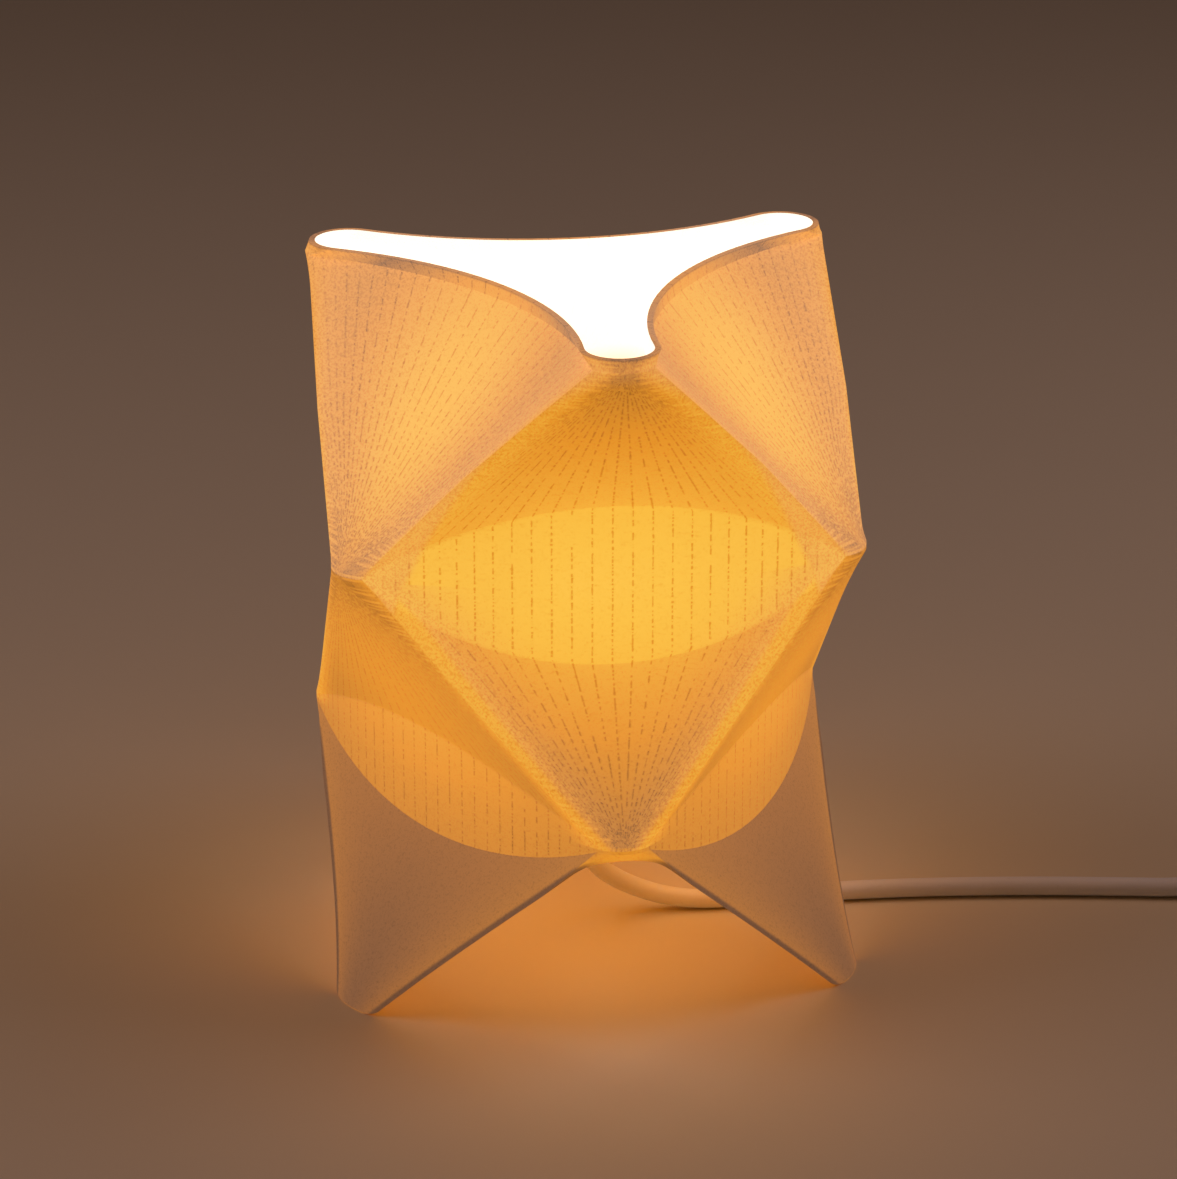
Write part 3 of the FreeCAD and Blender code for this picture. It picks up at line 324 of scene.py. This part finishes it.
    # the inner skin below the upper part gets a deep orange colour, a painted tint of the orange light there;
    # elsewhere it is off-white
    plain = finish.blend((1.0 - outside) * (1.0 - upper), (0.64, 0.57, 0.48), (0.74, 0.40, 0.02))
    skin = finish.blend(dashes * 0.6 + specks * 0.4 + edge * 0.35 + marks * 0.1, plain, (0.40, 0.33, 0.28))
    relief = specks * 0.6 + dashes * 0.5 + marks * 0.3
    return finish.done(Base_Color=skin, Roughness=0.65 + specks * 0.15, Emission_Color=light,
                       Emission_Strength=1.0, Normal=finish.bump(relief, 0.2, 0.4))


wear(shell_finish(), "shade")

# ---------------------------------------------------------------- carrier, holder and ring
# Moulded white parts that carry the bulb: a ring with three arms on the shade's ledges, and a
# screw holder through it, clamped by a threaded ring. The bulb's light tints them from above.


def moulded(name, tint, rough=0.42, painted_glow=None):
    """Moulded plastic: a faint grain, small changes of gloss, and darker patches at random."""
    finish = Finish(name)
    place = finish.place()
    fine = finish.grain(place, 0.35, 3.0, 0.6)
    broad = finish.grain(place, 14.0, 3.0)
    dull = tuple(0.86 * c for c in tint)
    colour = finish.blend(finish.smooth(broad, 0.38, 0.68), tint, dull)
    # a given glow colour is painted light from the bulb, not a lamp of its own
    extra = {"Emission_Color": tuple(painted_glow) + (1.0,), "Emission_Strength": 1.0} if painted_glow else {}
    return finish.done(Base_Color=colour, Roughness=rough + (broad - 0.5) * 0.18,
                       Normal=finish.bump(fine, 0.05, 0.35), **extra)


# painted light: the holder and carrier get a faint warm glow for the bulb's light on them
holder_plastic = moulded("holder_plastic", (0.80, 0.78, 0.73), 0.40, (0.10, 0.055, 0.018))
wear(moulded("carrier_plastic", (0.82, 0.80, 0.75), 0.55, (0.16, 0.09, 0.03)), "holder_carrier")
wear(holder_plastic, "holder_cap", "cord_nipple", "cord_grip", "holder_skirt", "shade_ring")


def metal(name, tint, rough, brushed=1.0):
    """Bare metal with fine drawing marks, a few smudges and uneven gloss."""
    finish = Finish(name)
    place = finish.place()
    stretched = finish.node("ShaderNodeVectorMath", {"operation": "MULTIPLY"},
                            {0: place, 1: (1.0, 1.0, 1.0 + 9.0 * brushed)})
    marks = finish.grain(stretched, 0.8, 3.0, 0.6)
    smudge = finish.grain(place, 5.0, 2.0)
    dark = tuple(0.7 * c for c in tint)
    colour = finish.blend(finish.smooth(smudge, 0.45, 0.75), tint, dark)
    return finish.done(Base_Color=colour, Metallic=1.0, Roughness=rough + (marks - 0.5) * 0.2 + smudge * 0.08,
                       Normal=finish.bump(marks, 0.03, 0.3))


wear(metal("zinc_screw", (0.72, 0.73, 0.75), 0.28), "carrier_screws", "terminal_screws", "switch_screws")
wear(metal("contact_brass", (0.80, 0.60, 0.28), 0.30), "centre_contact", "side_contact", "bulb_contact",
     "switch_contacts")


def ceramic_finish():
    """Unglazed white ceramic with a dry, slightly pitted face."""
    finish = Finish("insert_ceramic")
    place = finish.place()
    pits = finish.smooth(finish.grain(place, 0.6, 3.0), 0.60, 0.72)
    cloud = finish.grain(place, 8.0, 2.0)
    colour = finish.blend(pits * 0.6 + cloud * 0.2, (0.86, 0.85, 0.81), (0.60, 0.57, 0.52))
    return finish.done(Base_Color=colour, Roughness=0.72 - pits * 0.1, Normal=finish.bump(pits, -0.08, 0.6))


wear(ceramic_finish(), "holder_insert")

# ---------------------------------------------------------------- bulb
# A screw bulb: a drawn aluminium cap with black glass at its foot, a white housing, and an opal
# globe over a round board with eight light chips. It is on, so the globe glows.

wear(metal("cap_aluminium", (0.82, 0.82, 0.84), 0.24), "bulb_cap")


def glass_finish():
    """Black insulating glass with a wavy, shiny face."""
    finish = Finish("cap_glass")
    place = finish.place()
    wave = finish.grain(place, 3.0, 2.0)
    colour = finish.blend(wave, (0.012, 0.011, 0.014), (0.04, 0.035, 0.05))
    return finish.done(Base_Color=colour, Roughness=0.08 + wave * 0.08, Normal=finish.bump(wave, 0.1, 0.4))


wear(glass_finish(), "bulb_cap_glass")
# painted light: the housing gets a warm glow for the globe's light on it
wear(moulded("bulb_plastic", (0.86, 0.86, 0.84), 0.30, (0.30, 0.20, 0.10)), "bulb_housing")


def opal_finish():
    """Opal plastic lit from behind: brightest on top, a little darker towards its foot."""
    finish = Finish("opal_globe")
    place = finish.place()
    split = finish.node("ShaderNodeSeparateXYZ", {}, {"Vector": place})
    globe_foot, globe_middle = 149.0, 166.0
    rise = finish.smooth(split.other("Z"), globe_foot, globe_middle)
    mottle = finish.grain(place, 6.0, 2.0) - 0.5
    glow = finish.node("ShaderNodeValToRGB", {"stops": [
        (0.0, (1.0, 0.66, 0.30)), (0.6, (1.0, 0.84, 0.58)), (1.0, (1.0, 0.92, 0.74))]},
        {"Fac": rise * 0.9 + 0.1 + mottle * 0.12})
    return finish.done(Base_Color=(0.9, 0.88, 0.82, 1.0), Roughness=0.35 + mottle * 0.1, Emission_Color=glow,
                       Emission_Strength=1.0, Normal=finish.bump(mottle, 0.04, 0.3))


wear(opal_finish(), "bulb_globe")


def board_finish(name, mask, track, pitch):
    """A circuit board: solder mask over a grid of tracks."""
    finish = Finish(name)
    place = finish.place()
    tracks = finish.node("ShaderNodeTexBrick", {"offset": 0.5}, {
        "Vector": place, "Scale": 1.0 / pitch, "Color1": tuple(mask) + (1.0,), "Color2": tuple(mask) + (1.0,),
        "Mortar": tuple(track) + (1.0,), "Mortar Size": 0.035})
    cloud = finish.grain(place, 3.0)
    colour = finish.blend(cloud * 0.25, tracks, tuple(0.6 * c for c in mask))
    return finish.done(Base_Color=colour, Roughness=0.35 + cloud * 0.2,
                       Normal=finish.bump(tracks.other("Fac"), 0.05, 0.5))


wear(board_finish("white_board", (0.82, 0.84, 0.80), (0.66, 0.62, 0.48), 5.0), "led_board")
wear(board_finish("green_board", (0.05, 0.20, 0.08), (0.22, 0.30, 0.12), 3.0), "bulb_driver")


def chip_finish():
    """The yellow phosphor window of a light chip in its white frame."""
    finish = Finish("light_chip")
    place = finish.place()
    grit = finish.grain(place, 0.5, 3.0)
    colour = finish.blend(grit, (1.0, 0.74, 0.16), (0.9, 0.52, 0.08))
    return finish.done(Base_Color=colour, Roughness=0.4 + grit * 0.2, Emission_Color=colour, Emission_Strength=2.0,
                       Normal=finish.bump(grit, 0.05, 0.5))


wear(chip_finish(), "led_chips")

# ---------------------------------------------------------------- lead
# A round mains lead with a cream sheath, 6.8 mm thick. It hangs out of the grip under the
# holder, lies on the floor, and goes out through the right-hand arch to a switch.


def sheath_finish():
    """Soft cream plastic with faint clouding and scuffs, and dull and shiny stretches."""
    finish = Finish("cord_sheath")
    place = finish.place()
    broad = finish.grain(place, 18.0, 3.0)
    fine = finish.grain(place, 0.5, 2.0)
    scuff = finish.smooth(finish.grain(place, 2.2, 4.0, 0.7), 0.60, 0.74)
    colour = finish.blend(broad * 0.5 + scuff * 0.4, (0.90, 0.92, 0.95), (0.72, 0.73, 0.74))
    return finish.done(Base_Color=colour, Roughness=0.38 + broad * 0.16 + scuff * 0.15,
                       Normal=finish.bump(fine, 0.03, 0.3))


sheath = sheath_finish()
CORD = 0.0068


def laid_cord(name, points):
    """A round cord along control points given in millimetres."""
    data = bpy.data.curves.new(name, "CURVE")
    data.dimensions = "3D"
    data.bevel_depth = CORD / 2
    data.bevel_resolution = 5
    data.use_fill_caps = True
    data.resolution_u = 6
    spline = data.splines.new("NURBS")
    spline.points.add(len(points) - 1)
    for point, (x, y, z) in zip(spline.points, points):
        point.co = (x / 1000, y / 1000, z / 1000, 1.0)
    spline.order_u = 3
    spline.use_endpoint_u = True
    data.materials.append(sheath)
    piece = bpy.data.objects.new(name, data)
    bpy.context.scene.collection.objects.link(piece)
    return piece


# height of the switch's cord entries above the floor, and the line in y that they lie on
ENTRY, SWITCH_LINE = 9.5, -8.2

lead = laid_cord("mains_lead", [
    (0, 0, 71), (0, 0, 58), (0, 0, 45), (0, 0, 36.4), (2.1, 1.3, 27.9), (6.2, 4.0, 20.4), (12.8, 7.3, 14.3),
    (20.8, 9.7, 9.0), (30.5, 9.9, 5.2), (42.3, 8.9, 3.5), (56, 8.4, 3.5), (78, 8.9, 3.5),
    (105, 8.8, 3.5), (135, 6.7, 3.5), (166, 2.9, 3.5), (194, -1.6, 3.5), (214, -5.2, 3.5),
    (230, -7.4, 6.2), (243, SWITCH_LINE, ENTRY), (256, SWITCH_LINE, ENTRY)])
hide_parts("cord_lead", "cord_in_holder")
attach(lead, "lamp")


def cores_finish():
    """The lead's two cores: brown and blue insulation."""
    finish = Finish("core_insulation")
    place = finish.place()
    split = finish.node("ShaderNodeSeparateXYZ", {}, {"Vector": place})
    fine = finish.grain(place, 0.6, 2.0)
    base = finish.blend(split.math("GREATER_THAN", 0.0), (0.20, 0.10, 0.05), (0.05, 0.13, 0.42))
    colour = finish.blend(fine * 0.3, base, (0.02, 0.02, 0.02))
    return finish.done(Base_Color=colour, Roughness=0.35 + fine * 0.2, Normal=finish.bump(fine, 0.03, 0.4))


wear(cores_finish(), "lead_wires")

# ---------------------------------------------------------------- lead beyond the switch
# The rest of the lead is wound up for storage: six and a half turns in two layers, from the
# switch to the plug, lying on the floor beside the lamp.

COIL_X, COIL_Y, COIL_OUT, COIL_STEP = 376.0, 33.0, 45.5, 7.4
COIL_LOW, COIL_HIGH = 5.0, 12.3
QUARTERS_IN, QUARTERS_UP = 12, 2
POINTS_A_QUARTER = 4
SPLINE_CUTS_IN = 1.012


def coil_point(quarter):
    """The coil's centre line after so many quarter turns."""
    inner = COIL_OUT - COIL_STEP * QUARTERS_IN / 4
    climbed = (quarter - QUARTERS_IN) / QUARTERS_UP
    if climbed <= 0:
        ring, level = COIL_OUT - COIL_STEP * quarter / 4, COIL_LOW
    elif climbed < 1:
        ring = inner - COIL_STEP / 8 * (1 - (2 * climbed - 1) ** 2)
        level = COIL_LOW + (COIL_HIGH - COIL_LOW) * climbed * climbed * (3 - 2 * climbed)
    else:
        ring, level = inner + COIL_STEP * (quarter - QUARTERS_IN - QUARTERS_UP) / 4, COIL_HIGH
    angle = (quarter - 1) * math.pi / 2
    ring = ring * SPLINE_CUTS_IN
    return (COIL_X + ring * math.cos(angle), COIL_Y + ring * math.sin(angle), level)


turns = [coil_point(k / POINTS_A_QUARTER)
         for k in range(POINTS_A_QUARTER * (2 * QUARTERS_IN + QUARTERS_UP) + 1)]
tail = laid_cord("lead_to_plug", [
    (306, SWITCH_LINE, ENTRY), (318.5, SWITCH_LINE, ENTRY), (332, -9.4, 6.6), (345.5, -11.3, COIL_LOW),
    (358, -12.5, COIL_LOW), (369.2, -12.7, COIL_LOW)] + turns + [
    (369.2, 78.7, COIL_HIGH), (359.5, 78.5, COIL_HIGH), (349.5, 78.2, 10.9), (339.5, 77.5, 8.3),
    (329.5, 77.0, 6.8), (320.0, 77.0, 6.8)])
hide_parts("cord_tail", "cord_coil", "cord_plug_end")
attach(tail, "lamp")

# ---------------------------------------------------------------- switch and plug
# An in-line rocker switch in two screwed halves, and a flat moulded two-pin plug with a tapered
# boot, both in the same off-white as the lead.

switch_plastic = moulded("switch_plastic", (0.80, 0.76, 0.69), 0.36)
wear(switch_plastic, "switch_base", "switch_cover", "rocker_saddles")
wear(moulded("rocker_plastic", (0.84, 0.80, 0.73), 0.24), "switch_rocker")
wear(moulded("plug_plastic", (0.80, 0.76, 0.69), 0.34), "plug_body", "plug_boot")
wear(metal("pin_nickel", (0.78, 0.76, 0.72), 0.20), "plug_pins")
wear(moulded("sleeve_black", (0.03, 0.03, 0.03), 0.40), "plug_pin_sleeves")

# ---------------------------------------------------------------- coil tie
# A strap of dark hook-and-loop tape round the turns on the far side of the coil.


def tape_finish():
    """Woven tape: over and under threads, with a short pile."""
    finish = Finish("tie_tape")
    place = finish.place()
    split = finish.node("ShaderNodeSeparateXYZ", {}, {"Vector": place})
    over = (split.other("Y") * 5.2).math("SINE") * ((split + split.other("Z")) * 5.2).math("SINE")
    pile = finish.grain(place, 0.5, 3.0, 0.7)
    colour = finish.blend(over * 0.35 + 0.5 + (pile - 0.5) * 0.4, (0.02, 0.02, 0.022), (0.10, 0.10, 0.11))
    return finish.done(Base_Color=colour, Roughness=0.9 - pile * 0.1, Normal=finish.bump(over + pile, 0.15, 0.6))


def strap():
    """A flat loop of tape round the turns, with its free end lapped over on top."""
    low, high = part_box("coil_tie")
    middle = (Vector(low) + Vector(high)) / 2
    size = Vector(high) - Vector(low)
    thickness = 0.0009
    tools = bpy.context.tool_settings
    bpy.ops.object.select_all(action="DESELECT")

    # the free end: a short rounded tab that lies on the loop
    bpy.ops.mesh.primitive_cube_add(size=1.0, location=(middle.x + 0.0015, middle.y, high[2] - thickness / 2))
    tab = bpy.context.active_object
    tab.scale = (size.x * 0.55, size.y - 0.0012, thickness)
    bpy.ops.object.transform_apply(location=True, rotation=True, scale=True)
    rounded = tab.modifiers.new("edge", "BEVEL")
    rounded.width, rounded.segments, rounded.limit_method = 0.0003, 2, "ANGLE"
    bpy.ops.object.modifier_apply(modifier="edge")
    bpy.ops.object.select_all(action="DESELECT")

    # the loop: a box with its two open ends taken off and its four long edges rounded
    bpy.ops.mesh.primitive_cube_add(size=1.0, location=middle - Vector((0.0, 0.0, thickness / 2)))
    band = bpy.context.active_object
    band.name = "coil_strap"
    band.scale = (size.x, size.y - 0.0008, size.z - thickness)
    bpy.ops.object.transform_apply(location=True, rotation=True, scale=True)
    bpy.ops.object.mode_set(mode="EDIT")
    tools.mesh_select_mode = (False, False, True)
    bpy.ops.mesh.select_all(action="DESELECT")
    bpy.ops.object.mode_set(mode="OBJECT")
    for face in band.data.polygons:
        face.select = abs(face.normal.y) > 0.9
    bpy.ops.object.mode_set(mode="EDIT")
    bpy.ops.mesh.delete(type="ONLY_FACE")
    tools.mesh_select_mode = (False, True, False)
    bpy.ops.mesh.select_all(action="DESELECT")
    bpy.ops.object.mode_set(mode="OBJECT")
    for edge in band.data.edges:
        a, b = (band.data.vertices[v].co for v in edge.vertices)
        edge.select = abs(a.y - b.y) > size.y * 0.5
    bpy.ops.object.mode_set(mode="EDIT")
    bpy.ops.mesh.bevel(offset=0.005, segments=6, profile=0.5)
    bpy.ops.object.mode_set(mode="OBJECT")
    solid = band.modifiers.new("thickness", "SOLIDIFY")
    solid.thickness, solid.offset = thickness, -1.0
    rounded = band.modifiers.new("edge", "BEVEL")
    rounded.width, rounded.segments, rounded.limit_method = 0.0003, 2, "ANGLE"
    for name in ("thickness", "edge"):
        bpy.ops.object.modifier_apply(modifier=name)
    tab.select_set(True)
    bpy.ops.object.join()
    bpy.ops.object.shade_smooth_by_angle(angle=math.radians(40))
    band.data.materials.append(tape_finish())
    return band


tie = strap()
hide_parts("coil_tie")
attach(tie, "lamp")

# ---------------------------------------------------------------- floor and light
# A plain pale floor. The lamp is the main light. Two large soft lights high up on both sides
# light the room, and three small ones under the holder add the glow on the floor.

bpy.ops.object.select_all(action="DESELECT")
bpy.ops.mesh.primitive_plane_add(size=12.0, location=(0, 0, -0.0002))
floor = bpy.context.active_object
floor.name = "floor"


def floor_finish():
    """A matt, very faintly clouded surface."""
    finish = Finish("pale_floor")
    place = finish.place()
    cloud = finish.grain(place, 160.0, 3.0)
    colour = finish.blend(cloud * 0.3, (0.72, 0.65, 0.49), (0.66, 0.59, 0.44))
    return finish.done(Base_Color=colour, Roughness=0.75)


floor.data.materials.append(floor_finish())

world = bpy.data.worlds.new("room")
world.use_nodes = True
background = world.node_tree.nodes["Background"]
background.inputs["Color"].default_value = (1.0, 0.62, 0.50, 1.0)
background.inputs["Strength"].default_value = 0.03
bpy.context.scene.world = world


def soft_light(name, kind, place, energy, colour, size, aim=(0.0, 0.0, 0.1)):
    """A lamp of this kind, in watts and metres, turned towards a point."""
    data = bpy.data.lights.new(name, kind)
    data.energy, data.color = energy, colour
    if kind == "AREA":
        data.size = size
    else:
        data.shadow_soft_size = size
    light = bpy.data.objects.new(name, data)
    light.location = place
    light.rotation_euler = (Vector(place) - Vector(aim)).to_track_quat("Z", "Y").to_euler()
    bpy.context.scene.collection.objects.link(light)


for name, side in (("room_left", -1.0), ("room_right", 1.0)):
    soft_light(name, "AREA", (side - 0.03, 0.0, 1.15), 3.1, (1.0, 0.69, 0.65), 0.8, (0.0, 0.3, 0.0))
GLOW_RING, GLOW_HEIGHT = 0.042, 0.080
for k in range(3):
    turn = math.radians(30 + 120 * k)
    soft_light("glow_%d" % k, "POINT", (GLOW_RING * math.cos(turn), GLOW_RING * math.sin(turn), GLOW_HEIGHT),
               0.012, (1.0, 0.40, 0.005), 0.012)
